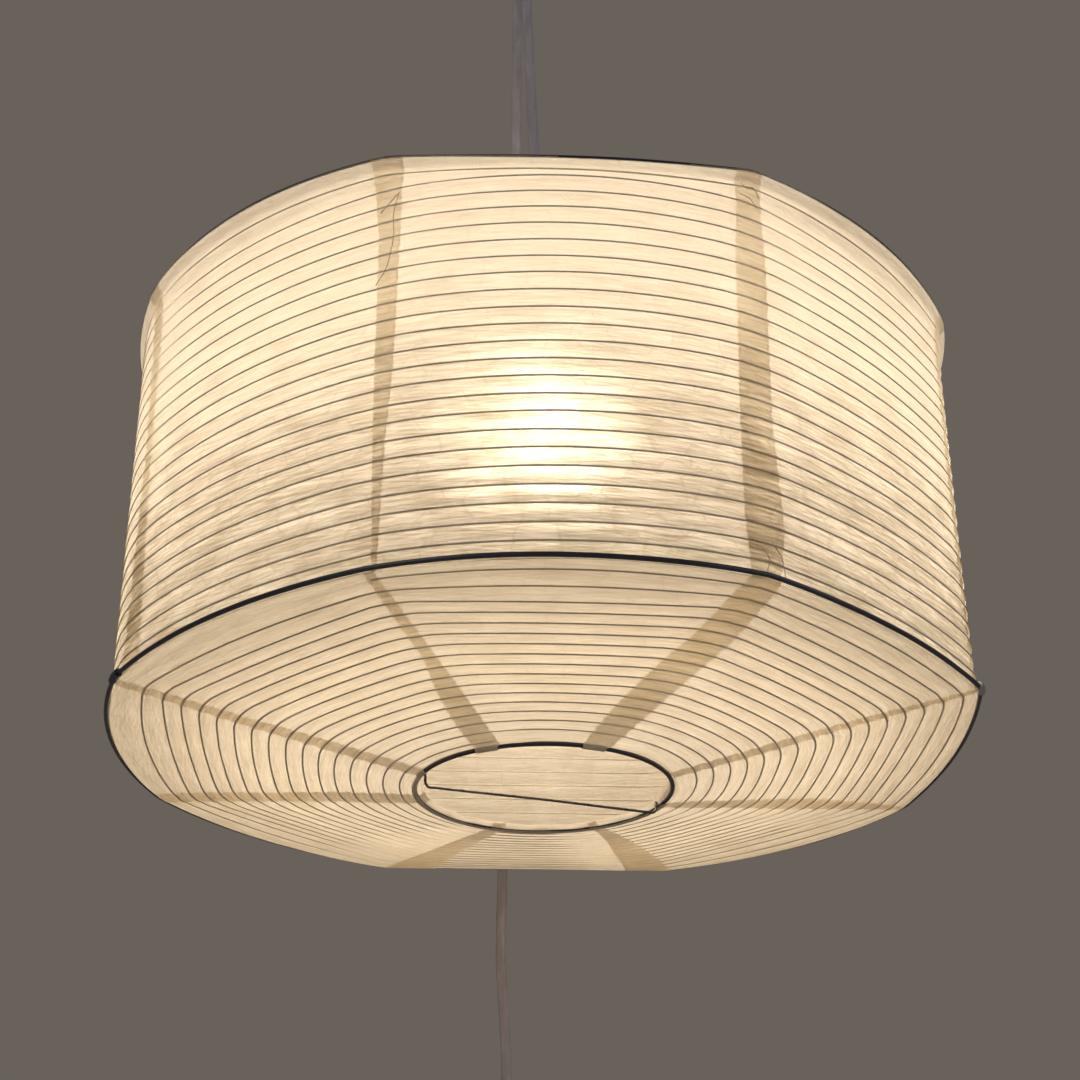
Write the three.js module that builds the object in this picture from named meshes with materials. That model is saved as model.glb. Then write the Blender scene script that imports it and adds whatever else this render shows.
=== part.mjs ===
// Paper drum lantern shade, eight-sided, hung by its flat cord from a ceiling hook.
// Millimetres, +Z up. The origin is the centre of the hook plate's top face, on the ceiling.
import * as THREE from "three";

// ---- driving dimensions ----
const cornerRadius = 225; // rim wire centreline, shade axis to a corner
const shadeHeight = 216; // top rim plane to bottom rim plane
const hangDrop = 365; // ceiling to top rim plane
const openingRadius = 66; // opening wire centreline
const faceRise = 22; // how far each opening stands out beyond its rim plane

const rimWire = 2.4;
const openingWire = 2.4;
const ribWire = 0.8;
const paperThickness = 0.5;
const hoopCount = 23;
const faceTurns = 16;

const touchGap = 0.3; // between pieces that touch
const hoopGap = 0.6; // hoop to wall paper
const spiralGap = 0.9; // face rib to face paper
const legGap = 0.7; // the cross wire's rising ends to the opening wire

const sides = 8;
const stepsPerSide = 4;
const wallRows = 8;
const ringSteps = sides * stepsPerSide;
const curveSegments = 12; // half the chords in a round outline
const sideAngle = (2 * Math.PI) / sides;
const bottomTurn = THREE.MathUtils.degToRad(3); // corners past the straight-on position
const topTurn = THREE.MathUtils.degToRad(4);
// how far each side swells from a chord, 0, to the full circle, 1; the front side is first
const bottomSwell = [1, 0.5, 0.5, 1, 0, 0.8, 0.8, 0.75];
const topSwell = [0.3, 0.8, 0.8, 0.8, 0.8, 0.8, 0.8, 1];
// the faces' own sides: [share of the way in, swell]; the first row is the rim's own
const faceSwell = [
  [0.15, 0.2],
  [0.6, 0.35],
  [1, 1],
];

const supplyX = 11; // the shade axis, from the hook's centre
const supplyY = -12.3;

const hookWire = 4;
const hookRadius = 14; // bight centreline
const plateRadius = 14;
const plateThickness = 3;

const cordWidth = 6;
const cordThickness = 3.2;
const archRadius = 12.5; // cord centreline over the hook
const archHeight = -57; // where both strands leave the arch

const sleeveRadius = 19.5;
const holderStep = 3.5; // holder body beyond its sleeve
const sleeveLength = 32;
const shoulderHeight = 22;
const capHeight = 22;
const gripHeight = 12;
const nutHeight = 8;
const nutFlange = 7.5; // nut beyond the sleeve
const threadGap = 0.4;

const carrierThickness = 1.5;
const carrierFlange = 7.5; // carrier's ring beyond the sleeve
const carrierArm = 9; // arm width
const spreaderWire = 1.4;
const spreaderDrop = 5.5; // cross wire below the bottom opening wire
const spreaderTurn = THREE.MathUtils.degToRad(20);
const spreaderBend = 4; // where the cross wire turns up at each end

const bulbRadius = 30;
const bulbGlassLength = 82;
const bulbNeck = 13;
const bulbCapLength = 24;
const bulbCapRadius = 12.9;
const bulbCapGap = 1.7; // bulb cap to the sleeve's bore
const bulbWall = 1;

const coilMiddle = 34;
const coilColumns = 4;
const coilLayers = 3;
const columnPitch = 6.3;
const layerPitch = 3.4;
const coilBend = 14; // the strand's bend into the coil

const plugLength = 28;
const plugWidth = 26;
const plugDepth = 16;
const bladeLength = 16;
const bladeWidth = 6.4;
const bladeThickness = 1.5;
const bladeSpacing = 12.7;

// ---- levels and radii that follow ----
const topPlane = -hangDrop;
const bottomPlane = topPlane - shadeHeight;
const paperOutside = cornerRadius - rimWire / 2 - touchGap;
const paperInside = paperOutside - paperThickness;
const hoopRadius = paperInside - hoopGap - ribWire / 2;
const hemRadius = openingRadius + openingWire / 2 + hoopGap;
const topOpeningHeight = topPlane + faceRise;
const bottomOpeningHeight = bottomPlane - faceRise;
const carrierTop = topOpeningHeight - openingWire / 2 - touchGap;
const carrierBottom = carrierTop - carrierThickness;
const holderRadius = sleeveRadius + holderStep;
const nutRadius = sleeveRadius + nutFlange;
const carrierRing = sleeveRadius + carrierFlange;
const sleeveBore = bulbCapRadius + bulbCapGap;
const legRadius = openingRadius - openingWire / 2 - legGap - spreaderWire / 2;
const shoulderBottom = carrierTop + touchGap;
const shoulderTop = shoulderBottom + shoulderHeight;
const sleeveBottom = carrierBottom - sleeveLength;
const gripBottom = shoulderTop + touchGap + capHeight + touchGap;
const gripTop = gripBottom + gripHeight;
const bightTop = archHeight + archRadius - cordThickness / 2 - touchGap;
const hookCentre = bightTop - hookWire / 2 + hookRadius;

const mix = THREE.MathUtils.lerp;

const colours = {
  paper: { color: 0xf4ead6, roughness: 0.9, metalness: 0 },
  blackWire: { color: 0x17161c, roughness: 0.45, metalness: 0.4 },
  ribWire: { color: 0x8a8474, roughness: 0.5, metalness: 0.8 },
  steel: { color: 0xb9bcc0, roughness: 0.25, metalness: 1 },
  plastic: { color: 0xf2f1ec, roughness: 0.45, metalness: 0 },
  opal: { color: 0xfff3dd, roughness: 0.2, metalness: 0 },
  brass: { color: 0xc9b27a, roughness: 0.3, metalness: 1 },
  cord: { color: 0xecebe8, roughness: 0.55, metalness: 0 },
};

const lantern = new THREE.Group(); // the whole object
const shade = new THREE.Group(); // everything on the shade's own axis
shade.position.set(supplyX, supplyY, 0);
lantern.add(shade);

function add(parent, name, geometry, finish) {
  const mesh = new THREE.Mesh(geometry, new THREE.MeshStandardMaterial(colours[finish]));
  mesh.name = name;
  parent.add(mesh);
  return mesh;
}

// ---- shapes ----

// A curve sampled evenly in its own parameter, so that pieces share the same stations.
class Route extends THREE.Curve {
  constructor(pointAt) {
    super();
    this.pointAt = pointAt;
  }
  getPoint(t) {
    return this.pointAt(t);
  }
  getPointAt(t) {
    return this.pointAt(t);
  }
  getTangentAt(t, target) {
    return this.getTangent(t, target);
  }
}

function smoothRoute(points) {
  const spline = new THREE.CatmullRomCurve3(points, false, "centripetal");
  return new Route((t) => spline.getPoint(t));
}

function closedWire(pointAt, steps, radius, faces) {
  return new THREE.TubeGeometry(new Route(pointAt), steps, radius, faces, true);
}

function section(halfX, halfY, faces) {
  const shape = new THREE.Shape();
  for (let k = 0; k < faces; k++) {
    const a = (2 * Math.PI * (k + 0.5)) / faces;
    const point = [halfX * Math.cos(a), halfY * Math.sin(a)];
    if (k === 0) shape.moveTo(...point);
    else shape.lineTo(...point);
  }
  shape.closePath();
  return shape;
}

function openWire(route, steps, halfX, halfY, faces) {
  return new THREE.ExtrudeGeometry(section(halfX, halfY, faces), {
    steps,
    extrudePath: route,
    bevelEnabled: false,
  });
}

// profile: [radius, height] pairs, from the lower end of the axis round to the upper
function turned(profile, steps) {
  const points = profile.map(([r, z]) => new THREE.Vector2(r, z));
  return new THREE.LatheGeometry(points, steps).rotateX(Math.PI / 2);
}

function prism(shape, depth) {
  return new THREE.ExtrudeGeometry(shape, { depth, bevelEnabled: false, curveSegments });
}

// A thin sheet between an outer and an inner grid of points, closed at its edges.
function sheet(outer, inner, columns, rows, closed) {
  const positions = [];
  const index = [];
  const wide = closed ? columns : columns + 1;
  for (const face of [outer, inner])
    for (let j = 0; j <= rows; j++) for (let i = 0; i < wide; i++) positions.push(...face(i, j).toArray());
  const id = (side, i, j) => side * wide * (rows + 1) + j * wide + (i % wide);
  const quad = (a, b, c, d) => index.push(a, b, c, a, c, d);
  for (let j = 0; j < rows; j++)
    for (let i = 0; i < columns; i++) {
      quad(id(0, i, j), id(0, i + 1, j), id(0, i + 1, j + 1), id(0, i, j + 1));
      quad(id(1, i, j + 1), id(1, i + 1, j + 1), id(1, i + 1, j), id(1, i, j));
    }
  for (let i = 0; i < columns; i++) {
    quad(id(1, i, 0), id(1, i + 1, 0), id(0, i + 1, 0), id(0, i, 0));
    quad(id(0, i, rows), id(0, i + 1, rows), id(1, i + 1, rows), id(1, i, rows));
  }
  if (!closed)
    for (let j = 0; j < rows; j++) {
      quad(id(1, 0, j + 1), id(1, 0, j), id(0, 0, j), id(0, 0, j + 1));
      quad(id(0, columns, j + 1), id(0, columns, j), id(1, columns, j), id(1, columns, j + 1));
    }
  return new THREE.BufferGeometry()
    .setAttribute("position", new THREE.Float32BufferAttribute(positions, 3))
    .setIndex(index);
}

// ---- the eight-sided outline ----

// The outline's radius as a share of the corner radius; step counts stations from the front-left corner.
function reach(step, swells) {
  const along = THREE.MathUtils.euclideanModulo(step, ringSteps) / stepsPerSide;
  const side = Math.floor(along);
  const fromMiddle = (along - side - 0.5) * sideAngle;
  const chord = Math.cos(sideAngle / 2) / Math.cos(fromMiddle);
  return mix(chord, 1, swells[side]);
}

function onRing(step, radius, height, turn) {
  const angle = -Math.PI / 2 - sideAngle / 2 + turn + (step / stepsPerSide) * sideAngle;
  return new THREE.Vector3(radius * Math.cos(angle), radius * Math.sin(angle), height);
}

// A point of the wall; share is 0 at the bottom rim and 1 at the top rim.
function wallPoint(step, share, radius, height) {
  const low = onRing(step, radius * reach(step, bottomSwell), height, bottomTurn);
  const high = onRing(step, radius * reach(step, topSwell), height, topTurn);
  return low.lerp(high, share);
}

// A point of an end face; share is 0 at the rim and 1 at the hem round the opening.
function facePoint(end, step, share, lift) {
  const rows = [[0, null], ...faceSwell];
  const row = Math.max(1, rows.findIndex(([s]) => share <= s));
  const [fromShare, fromSwell] = rows[row - 1];
  const [toShare, toSwell] = rows[row];
  const rowReach = (swell) => reach(step, swell === null ? end.swell : Array(sides).fill(swell));
  const wide = mix(rowReach(fromSwell), rowReach(toSwell), (share - fromShare) / (toShare - fromShare));
  const radius = mix(paperOutside, hemRadius, share) * wide;
  return onRing(step, radius, end.plane + end.out * (faceRise * share - lift), end.turn);
}

const bottomEnd = { plane: bottomPlane, out: -1, swell: bottomSwell, turn: bottomTurn, share: 0 };
const topEnd = { plane: topPlane, out: 1, swell: topSwell, turn: topTurn, share: 1 };

// ---- the shade ----

function addRims() {
  for (const [name, end] of [["top_ring", topEnd], ["bottom_ring", bottomEnd]]) {
    const height = end.plane - end.out * (rimWire / 2 + paperThickness);
    const path = (t) => wallPoint(t * ringSteps, end.share, cornerRadius, height);
    add(shade, name, closedWire(path, ringSteps, rimWire / 2, 5), "blackWire");
  }
}

function addOpenings() {
  for (const [name, end] of [["top_opening_ring", topEnd], ["bottom_opening_ring", bottomEnd]]) {
    const height = end.plane + end.out * faceRise;
    const path = (t) => onRing(t * ringSteps, openingRadius, height, end.turn);
    add(shade, name, closedWire(path, ringSteps, openingWire / 2, 5), "blackWire");
  }
}

function addHoops() {
  for (let k = 1; k <= hoopCount; k++) {
    const share = 1 - k / (hoopCount + 1);
    const height = mix(bottomPlane, topPlane, share);
    const path = (t) => wallPoint(t * ringSteps, share, hoopRadius, height);
    const name = "wall_hoop_" + String(k).padStart(2, "0");
    add(shade, name, closedWire(path, ringSteps, ribWire / 2, 3), "ribWire");
  }
}

// One sheet of paper per side, from corner to corner.
function addGores() {
  const seam = touchGap / 2 / (cornerRadius * (sideAngle / stepsPerSide)); // half a seam, in steps
  for (let side = 0; side < sides; side++) {
    const grid = (radius) => (i, j) => {
      const trim = i === 0 ? seam : i === stepsPerSide ? -seam : 0;
      const share = j / wallRows;
      const height = mix(bottomPlane + touchGap, topPlane - touchGap, share);
      return wallPoint(side * stepsPerSide + i + trim, share, radius, height);
    };
    const paper = sheet(grid(paperOutside), grid(paperInside), stepsPerSide, wallRows, false);
    add(shade, "wall_paper_" + (side + 1), paper, "paper");
  }
}

function addFaces() {
  const shares = [0, ...faceSwell.map(([s]) => s)];
  for (const [name, end] of [["top_paper", topEnd], ["bottom_paper", bottomEnd]]) {
    const grid = (lift) => (i, j) => facePoint(end, i, shares[j], lift);
    const paper = sheet(grid(0), grid(-paperThickness), ringSteps, faceSwell.length, true);
    if (end.out > 0) paper.index.array.reverse();
    add(shade, name, paper, "paper");
  }
}

// One long wire wound inwards just inside each face.
function addSpirals() {
  const stations = 16; // per turn
  const lift = spiralGap + ribWire / 2;
  for (const [name, end] of [["top_rib_spiral", topEnd], ["bottom_rib_spiral", bottomEnd]]) {
    const path = new Route((t) => {
      const share = (0.5 + t * faceTurns) / (faceTurns + 1);
      return facePoint(end, t * faceTurns * ringSteps, share, lift);
    });
    add(shade, name, openWire(path, faceTurns * stations, ribWire / 2, ribWire / 2, 3), "ribWire");
  }
}

// ---- what holds the shade open and up ----

// A straight wire across the bottom opening, whose ends rise inside the opening wire and hook over it.
function addSpreader() {
  const low = bottomOpeningHeight - spreaderDrop;
  const high = bottomOpeningHeight + openingWire / 2 + touchGap + spreaderWire / 2;
  const hookEnd = openingRadius + openingWire / 2;
  const foot = (from, turn) =>
    new THREE.Vector3(
      from * (legRadius - spreaderBend * (1 - Math.sin(turn))),
      0,
      low + spreaderBend * (1 - Math.cos(turn)),
    );
  const arc = [0, 1, 2, 3].map((k) => (k * Math.PI) / 6);
  const end = (from) => [
    new THREE.Vector3(from * hookEnd, 0, high),
    new THREE.Vector3(from * (legRadius + spreaderWire), 0, high),
    new THREE.Vector3(from * legRadius, 0, high - spreaderWire),
    ...arc.map((a) => foot(from, Math.PI / 2 - a)),
  ];
  const points = [...end(-1), ...end(1).reverse()];
  const path = new Route((t) => {
    const at = Math.min(t * (points.length - 1), points.length - 1 - 1e-9);
    const k = Math.floor(at);
    return points[k].clone().lerp(points[k + 1], at - k);
  });
  path.getTangentAt = (t) => {
    const at = Math.round(t * (points.length - 1));
    const before = points[Math.max(at - 1, 0)];
    const after = points[Math.min(at + 1, points.length - 1)];
    return after.clone().sub(before).normalize();
  };
  const wire = openWire(path, points.length - 1, spreaderWire / 2, spreaderWire / 2, 5);
  add(shade, "spreader_wire", wire, "steel").rotation.z = spreaderTurn;
}

// Flat carrier: a ring for the lampholder with two arms that reach under the top opening wire.
function addCarrier() {
  const armEnd = openingRadius + openingWire / 2;
  const half = carrierArm / 2;
  const root = Math.asin(half / carrierRing);
  const outline = new THREE.Shape();
  outline.moveTo(armEnd, -half);
  outline.lineTo(armEnd, half);
  outline.absarc(0, 0, carrierRing, root, Math.PI - root, false);
  outline.lineTo(-armEnd, half);
  outline.lineTo(-armEnd, -half);
  outline.absarc(0, 0, carrierRing, Math.PI + root, 2 * Math.PI - root, false);
  const hole = new THREE.Path();
  hole.absarc(0, 0, sleeveRadius + threadGap, 0, 2 * Math.PI, true);
  outline.holes.push(hole);
  const plate = add(shade, "spreader_carrier", prism(outline, carrierThickness), "steel");
  plate.position.z = carrierBottom;
  plate.rotation.z = spreaderTurn;
}

function addLampholder() {
  const bodySteps = 20;
  const sleeve = [
    [sleeveBore, sleeveBottom],
    [sleeveRadius, sleeveBottom],
    [sleeveRadius, shoulderBottom],
    [holderRadius, shoulderBottom],
    [holderRadius, shoulderTop],
    [0, shoulderTop],
    [0, shoulderBottom - touchGap],
    [sleeveBore, shoulderBottom - touchGap],
    [sleeveBore, sleeveBottom],
  ];
  add(shade, "lampholder_body", turned(sleeve, bodySteps), "plastic");
  const capBottom = shoulderTop + touchGap;
  const cap = [
    [0, capBottom],
    [holderRadius, capBottom],
    [holderRadius - 1, capBottom + capHeight * 0.4],
    [holderRadius * 0.72, capBottom + capHeight * 0.8],
    [holderRadius * 0.4, capBottom + capHeight],
    [0, capBottom + capHeight],
  ];
  add(shade, "lampholder_cap", turned(cap, bodySteps), "plastic");
  const grip = [
    [0, gripBottom],
    [holderRadius * 0.28, gripBottom],
    [holderRadius * 0.2, gripTop - touchGap],
    [0, gripTop - touchGap],
  ];
  add(shade, "cord_grip", turned(grip, 12), "plastic");
}

function addRingNut() {
  const top = carrierBottom - touchGap;
  const inside = sleeveRadius + threadGap;
  const profile = [
    [inside, top - nutHeight],
    [nutRadius - 3, top - nutHeight],
    [nutRadius, top - 2],
    [nutRadius, top],
    [inside, top],
    [inside, top - nutHeight],
  ];
  add(shade, "shade_ring_nut", turned(profile, 20), "plastic");
}

function addBulb() {
  const capTop = sleeveBottom - touchGap + bulbCapLength;
  const cap = [
    [0, capTop - bulbCapLength],
    [bulbCapRadius, capTop - bulbCapLength],
    [bulbCapRadius, capTop - 4],
    [bulbCapRadius * 0.5, capTop],
    [0, capTop],
  ];
  add(shade, "bulb_cap", turned(cap, 16), "brass");
  const top = capTop - bulbCapLength - touchGap;
  const globe = top - bulbGlassLength + bulbRadius;
  const outside = [];
  for (let k = 0; k <= 8; k++) {
    const a = -Math.PI / 2 + (k * Math.PI * 0.72) / 8;
    outside.push([bulbRadius * Math.cos(a), globe + bulbRadius * Math.sin(a)]);
  }
  outside[0][0] = 0;
  outside.push([bulbNeck + 1.5, globe + bulbRadius * 1.25], [bulbNeck, top]);
  const inside = outside.map(([r, z], k) => [
    k === 0 ? 0 : r - bulbWall,
    k === outside.length - 1 ? top : z + (k === 0 ? bulbWall : bulbWall / 2),
  ]);
  add(shade, "bulb_glass", turned([...outside, ...inside.reverse()], 16), "opal");
}

// ---- hook and cord ----

function addHook() {
  const at = (degrees) => {
    const a = THREE.MathUtils.degToRad(degrees);
    return new THREE.Vector3(hookRadius * Math.cos(a), 0, hookCentre + hookRadius * Math.sin(a));
  };
  const shankTop = -plateThickness - touchGap;
  const shankEnd = hookCentre + hookRadius + 3;
  const path = smoothRoute([
    new THREE.Vector3(0, 0, shankTop),
    new THREE.Vector3(0, 0, shankEnd),
    at(116),
    ...[145, 180, 215, 242, 270, 298, 325, 360, 387].map(at),
  ]);
  add(lantern, "ceiling_hook", openWire(path, 22, hookWire / 2, hookWire / 2, 6), "steel");
  const disc = section(plateRadius, plateRadius, 20);
  const plate = add(lantern, "hook_plate", prism(disc, plateThickness), "steel");
  plate.position.z = -plateThickness;
}

// Up from the lampholder, over the hook, down across the top of the shade, over its back
// rim and down to the coil. Every point is a place of its own.
const cordRoute = [
  [11, -12.3, -287.4],
  [10.03, -12.3, -262],
  [8.92, -12.3, -232],
  [7.8, -12.3, -202],
  [6.68, -12.3, -172],
  [5.56, -12.3, -142],
  [4.45, -12.3, -112],
  [3.41, -12.3, -84],
  [2.4, -12.3, -57],
  [2.08, -10.65, -50.75],
  [1.2, -6.15, -46.17],
  [0, 0, -44.5],
  [-1.2, 6.15, -46.17],
  [-2.08, 10.65, -50.75],
  [-2.4, 12.3, -57],
  [-2.9, 18.3, -81.8],
  [-3.6, 33.7, -115],
  [-4.6, 56.5, -154.2],
  [-6.2, 84.5, -197.2],
  [-8.2, 115.8, -241.6],
  [-10.3, 148.3, -285.3],
  [-12.5, 179.9, -325.7],
  [-14.5, 208.5, -360.8],
  [-14.5, 210.8, -364.3],
  [-14.5, 211.95, -367.8],
  [-14.5, 212.3, -371.1],
  [-14.5, 212.3, -405],
  [-14.5, 212.3, -440],
  [-14.6, 212.3, -475],
  [-14.6, 212.3, -510],
  [-14.7, 212.3, -545],
  [-14.8, 212.3, -575],
  [-15.4, 212.3, -605],
  [-15.5, 212.3, -635],
  [-13.9, 212.3, -662],
  [-12.4, 212.3, -688],
  [-12, 212.3, -710],
  [-12, 213.3, -715.2],
  [-12, 216.9, -720.4],
];
const coilY = 212.3 + coilBend; // the strand comes down one bend in front of the coil's centre
const coilOutside = coilMiddle + ((coilLayers - 1) / 2) * layerPitch;
const coilZ = -710 - coilBend - coilOutside;
const coilX = -12 + ((coilColumns - 1) / 2) * columnPitch;
const endX = coilX + ((coilColumns - 1) / 2) * columnPitch;
const endY = coilY + coilOutside;
const endTop = coilZ - 18;
const endBottom = coilZ - 28;

function addCord() {
  const path = smoothRoute(cordRoute.map((p) => new THREE.Vector3(...p)));
  const strand = openWire(path, 2 * (cordRoute.length - 1), cordThickness / 2, cordWidth / 2, 8);
  add(lantern, "supply_cord", strand, "cord");

  const halfWide = (coilColumns * columnPitch) / 2;
  const inner = coilMiddle - (coilLayers * layerPitch) / 2;
  const outer = coilMiddle + (coilLayers * layerPitch) / 2;
  const ring = [
    [inner, -halfWide],
    [outer, -halfWide],
    [outer, halfWide],
    [inner, halfWide],
    [inner, -halfWide],
  ];
  const coil = add(lantern, "cord_coil", turned(ring, 28).rotateY(Math.PI / 2), "cord");
  coil.position.set(coilX, coilY, coilZ);

  const end = smoothRoute([
    new THREE.Vector3(endX, endY, endTop),
    new THREE.Vector3(endX, endY, (endTop + endBottom) / 2),
    new THREE.Vector3(endX, endY, endBottom),
  ]);
  add(lantern, "cord_end", openWire(end, 3, cordThickness / 2, cordWidth / 2, 8), "cord");

  const tieWire = 1.2;
  const reachX = halfWide + 2 * touchGap + tieWire;
  const reachR = (outer - inner) / 2 + 2 * touchGap + tieWire;
  const loop = (t) => {
    const a = 2 * Math.PI * t;
    const square = 1 / Math.max(Math.abs(Math.cos(a)), Math.abs(Math.sin(a)));
    return new THREE.Vector3(reachX * Math.cos(a) * square, reachR * Math.sin(a) * square, 0);
  };
  const tie = closedWire(loop, 24, tieWire, 5);
  tie.translate(0, coilMiddle, 0);
  const held = add(lantern, "coil_tie", tie, "plastic");
  held.position.copy(coil.position);
  held.rotation.x = THREE.MathUtils.degToRad(200);
}

function addPlug() {
  const top = endBottom - touchGap;
  const corner = 4;
  const halfX = plugWidth / 2;
  const halfY = plugDepth / 2;
  const outline = new THREE.Shape();
  const corners = [[1, 1], [-1, 1], [-1, -1], [1, -1]];
  corners.forEach(([sx, sy], k) => {
    const start = (k * Math.PI) / 2;
    const x = sx * (halfX - corner);
    const y = sy * (halfY - corner);
    if (k === 0) outline.moveTo(x + corner, y);
    outline.absarc(x, y, corner, start, start + Math.PI / 2, false);
  });
  const body = new THREE.ExtrudeGeometry(outline, {
    depth: plugLength,
    bevelEnabled: false,
    curveSegments: 3,
  });
  add(lantern, "plug_body", body, "cord").position.set(endX, endY, top - plugLength);
  for (const [k, side] of [[1, -1], [2, 1]]) {
    const blade = new THREE.BoxGeometry(bladeThickness, bladeWidth, bladeLength);
    const mesh = add(lantern, "plug_blade_" + k, blade, "brass");
    const height = top - plugLength - touchGap - bladeLength / 2;
    mesh.position.set(endX + (side * bladeSpacing) / 2, endY, height);
  }
}

addRims();
addOpenings();
addHoops();
addGores();
addFaces();
addSpirals();
addSpreader();
addCarrier();
addLampholder();
addRingNut();
addBulb();
addHook();
addCord();
addPlug();

export default lantern;
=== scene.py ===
import math
import bpy
from mathutils import Matrix, Vector, noise


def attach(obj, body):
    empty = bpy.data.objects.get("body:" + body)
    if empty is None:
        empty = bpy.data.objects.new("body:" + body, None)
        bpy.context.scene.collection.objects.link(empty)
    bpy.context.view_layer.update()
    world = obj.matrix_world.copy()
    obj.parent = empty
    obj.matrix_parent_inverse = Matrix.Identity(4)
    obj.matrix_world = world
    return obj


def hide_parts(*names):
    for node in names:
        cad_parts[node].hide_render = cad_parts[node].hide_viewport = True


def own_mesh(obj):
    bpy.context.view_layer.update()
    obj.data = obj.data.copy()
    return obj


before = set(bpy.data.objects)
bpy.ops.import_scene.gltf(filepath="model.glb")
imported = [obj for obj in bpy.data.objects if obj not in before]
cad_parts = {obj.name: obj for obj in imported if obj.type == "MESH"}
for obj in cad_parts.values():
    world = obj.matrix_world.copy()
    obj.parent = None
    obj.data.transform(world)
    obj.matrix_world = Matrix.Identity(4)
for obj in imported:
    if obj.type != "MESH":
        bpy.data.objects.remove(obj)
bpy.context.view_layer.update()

cameraView = {
    "place": (0.011, -0.9818, -0.9462),
    "lens": 66.38,
    "yaw": -0.067,  # degrees, as are the next two
    "pitch": 26.64,
    "roll": -0.326,
}


def placeCamera(view):
    bpy.ops.object.camera_add()
    camera = bpy.context.object
    camera.data.lens = view["lens"]
    camera.data.sensor_width = 36
    turn = Matrix.Rotation(-math.radians(view["yaw"]), 4, "Z")
    tilt = Matrix.Rotation(math.radians(90 + view["pitch"]), 4, "X")
    lean = Matrix.Rotation(math.radians(view["roll"]), 4, "Z")
    camera.matrix_world = Matrix.Translation(view["place"]) @ turn @ tilt @ lean
    bpy.context.scene.camera = camera


placeCamera(cameraView)
print("camera placed")

# the lantern's own sizes, in metres, as the frame has them
shade = {
    "axis": Vector((0.011, -0.0123, 0)),
    "top": -0.365,
    "bottom": -0.581,
    "corner": 0.225,  # rim wire
    "paper": 0.2234,
    "opening": 0.066,
    "rise": 0.022,
    "bottomTurn": 3,  # degrees past straight on
    "topTurn": 4,
    "bottomSwell": [1, 0.5, 0.5, 1, 0, 0.8, 0.8, 0.75],
    "topSwell": [0.3, 0.8, 0.8, 0.8, 0.8, 0.8, 0.8, 1],
    "rimFade": (0.915, 0.073),  # share of the height where the top outline sets in, and over how much
    "hoops": 23,
    "faceTurns": 16,
}
height = shade["top"] - shade["bottom"]
lowEnd = {
    "name": "bottom",
    "plane": shade["bottom"],
    "out": -1,
    "turn": shade["bottomTurn"],
    "swell": shade["bottomSwell"],
}
highEnd = {
    "name": "top",
    "plane": shade["top"],
    "out": 1,
    "turn": shade["topTurn"],
    "swell": shade["topSwell"],
}


def mix(a, b, t):
    return a + (b - a) * t


def smooth(t):
    t = min(max(t, 0), 1)
    return t * t * (3 - 2 * t)


def ramp(t, rows):
    # the value at t of a broken line through rows of (t, value)
    for (a, low), (b, high) in zip(rows, rows[1:]):
        if t <= b:
            return mix(low, high, min(max((t - a) / (b - a), 0), 1))
    return rows[-1][1]


def sideReach(side, swells):
    # the outline's radius as a share of the corner's; whole numbers of side are corners
    k = math.floor(side)
    chord = math.cos(math.pi / 8) / math.cos((side - k - 0.5) * math.pi / 4)
    return mix(chord, 1, swells[k % 8])


def reach(side, swells, soft):
    # the same with each corner rounded over soft sides either way
    taps = [-1, -0.6, -0.2, 0.2, 0.6, 1]
    return sum(sideReach(side + soft * t, swells) for t in taps) / len(taps)


def around(side, radius, z, turn):
    a = math.radians(-112.5 + turn + 45 * side)
    return Vector((radius * math.cos(a), radius * math.sin(a), z)) + shade["axis"]


cornerSoft = [(0, 0.02), (0.1, 0.07), (0.35, 0.1), (0.85, 0.1), (0.97, 0.03), (1, 0.02)]


def wallPoint(side, share, radius, z, soft=None):
    # the corners are sharpest at the rims, and the top rim's own outline fades out in two hoops
    soft = ramp(share, cornerSoft) if soft is None else soft
    rim = smooth((share - shade["rimFade"][0]) / shade["rimFade"][1])
    wide = mix(reach(side, shade["bottomSwell"], soft), reach(side, shade["topSwell"], soft), rim)
    return around(side, radius * wide, z, mix(shade["bottomTurn"], shade["topTurn"], share))


faceRows = [(0.15, 0.2), (0.6, 0.35), (1, 1)]  # share of the way in, swell of every side


def facePoint(end, side, share, lift, edge=None):
    # lift goes into the lantern
    rows = [(0, None)] + faceRows
    k = next((k for k in range(1, 4) if share <= rows[k][0]), 3)
    soft = ramp(share, [(0, 0.02), (0.3, 0.11), (0.75, 0.2), (1, 0.02)])
    ends = []
    for s, swell in rows[k - 1 : k + 1]:
        ends.append(reach(side, end["swell"] if swell is None else [swell] * 8, soft))
    wide = mix(ends[0], ends[1], (share - rows[k - 1][0]) / (rows[k][0] - rows[k - 1][0]))
    radius = mix(edge or shade["paper"], shade["opening"] + 0.0018, share) * wide
    z = end["plane"] + end["out"] * (shade["rise"] * share - lift)
    return around(side, radius, z, end["turn"])


def deselect():
    bpy.ops.object.select_all(action="DESELECT")


def bendWire(name, points, thickness, closed=False, faces=6):
    # a wire bent through the points, with its ends closed
    deselect()
    bpy.ops.curve.primitive_nurbs_path_add()
    wire = bpy.context.object
    wire.name = name
    wire.data.splines.clear()
    line = wire.data.splines.new("POLY")
    line.points.add(len(points) - 1)
    for point, p in zip(line.points, points):
        point.co = (*p, 1)
    line.use_cyclic_u = closed
    wire.data.bevel_depth = thickness / 2
    wire.data.bevel_resolution = max(faces // 2 - 1, 0)
    wire.data.use_fill_caps = not closed
    bpy.ops.object.convert(target="MESH")
    bpy.ops.object.shade_smooth()
    return wire


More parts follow.
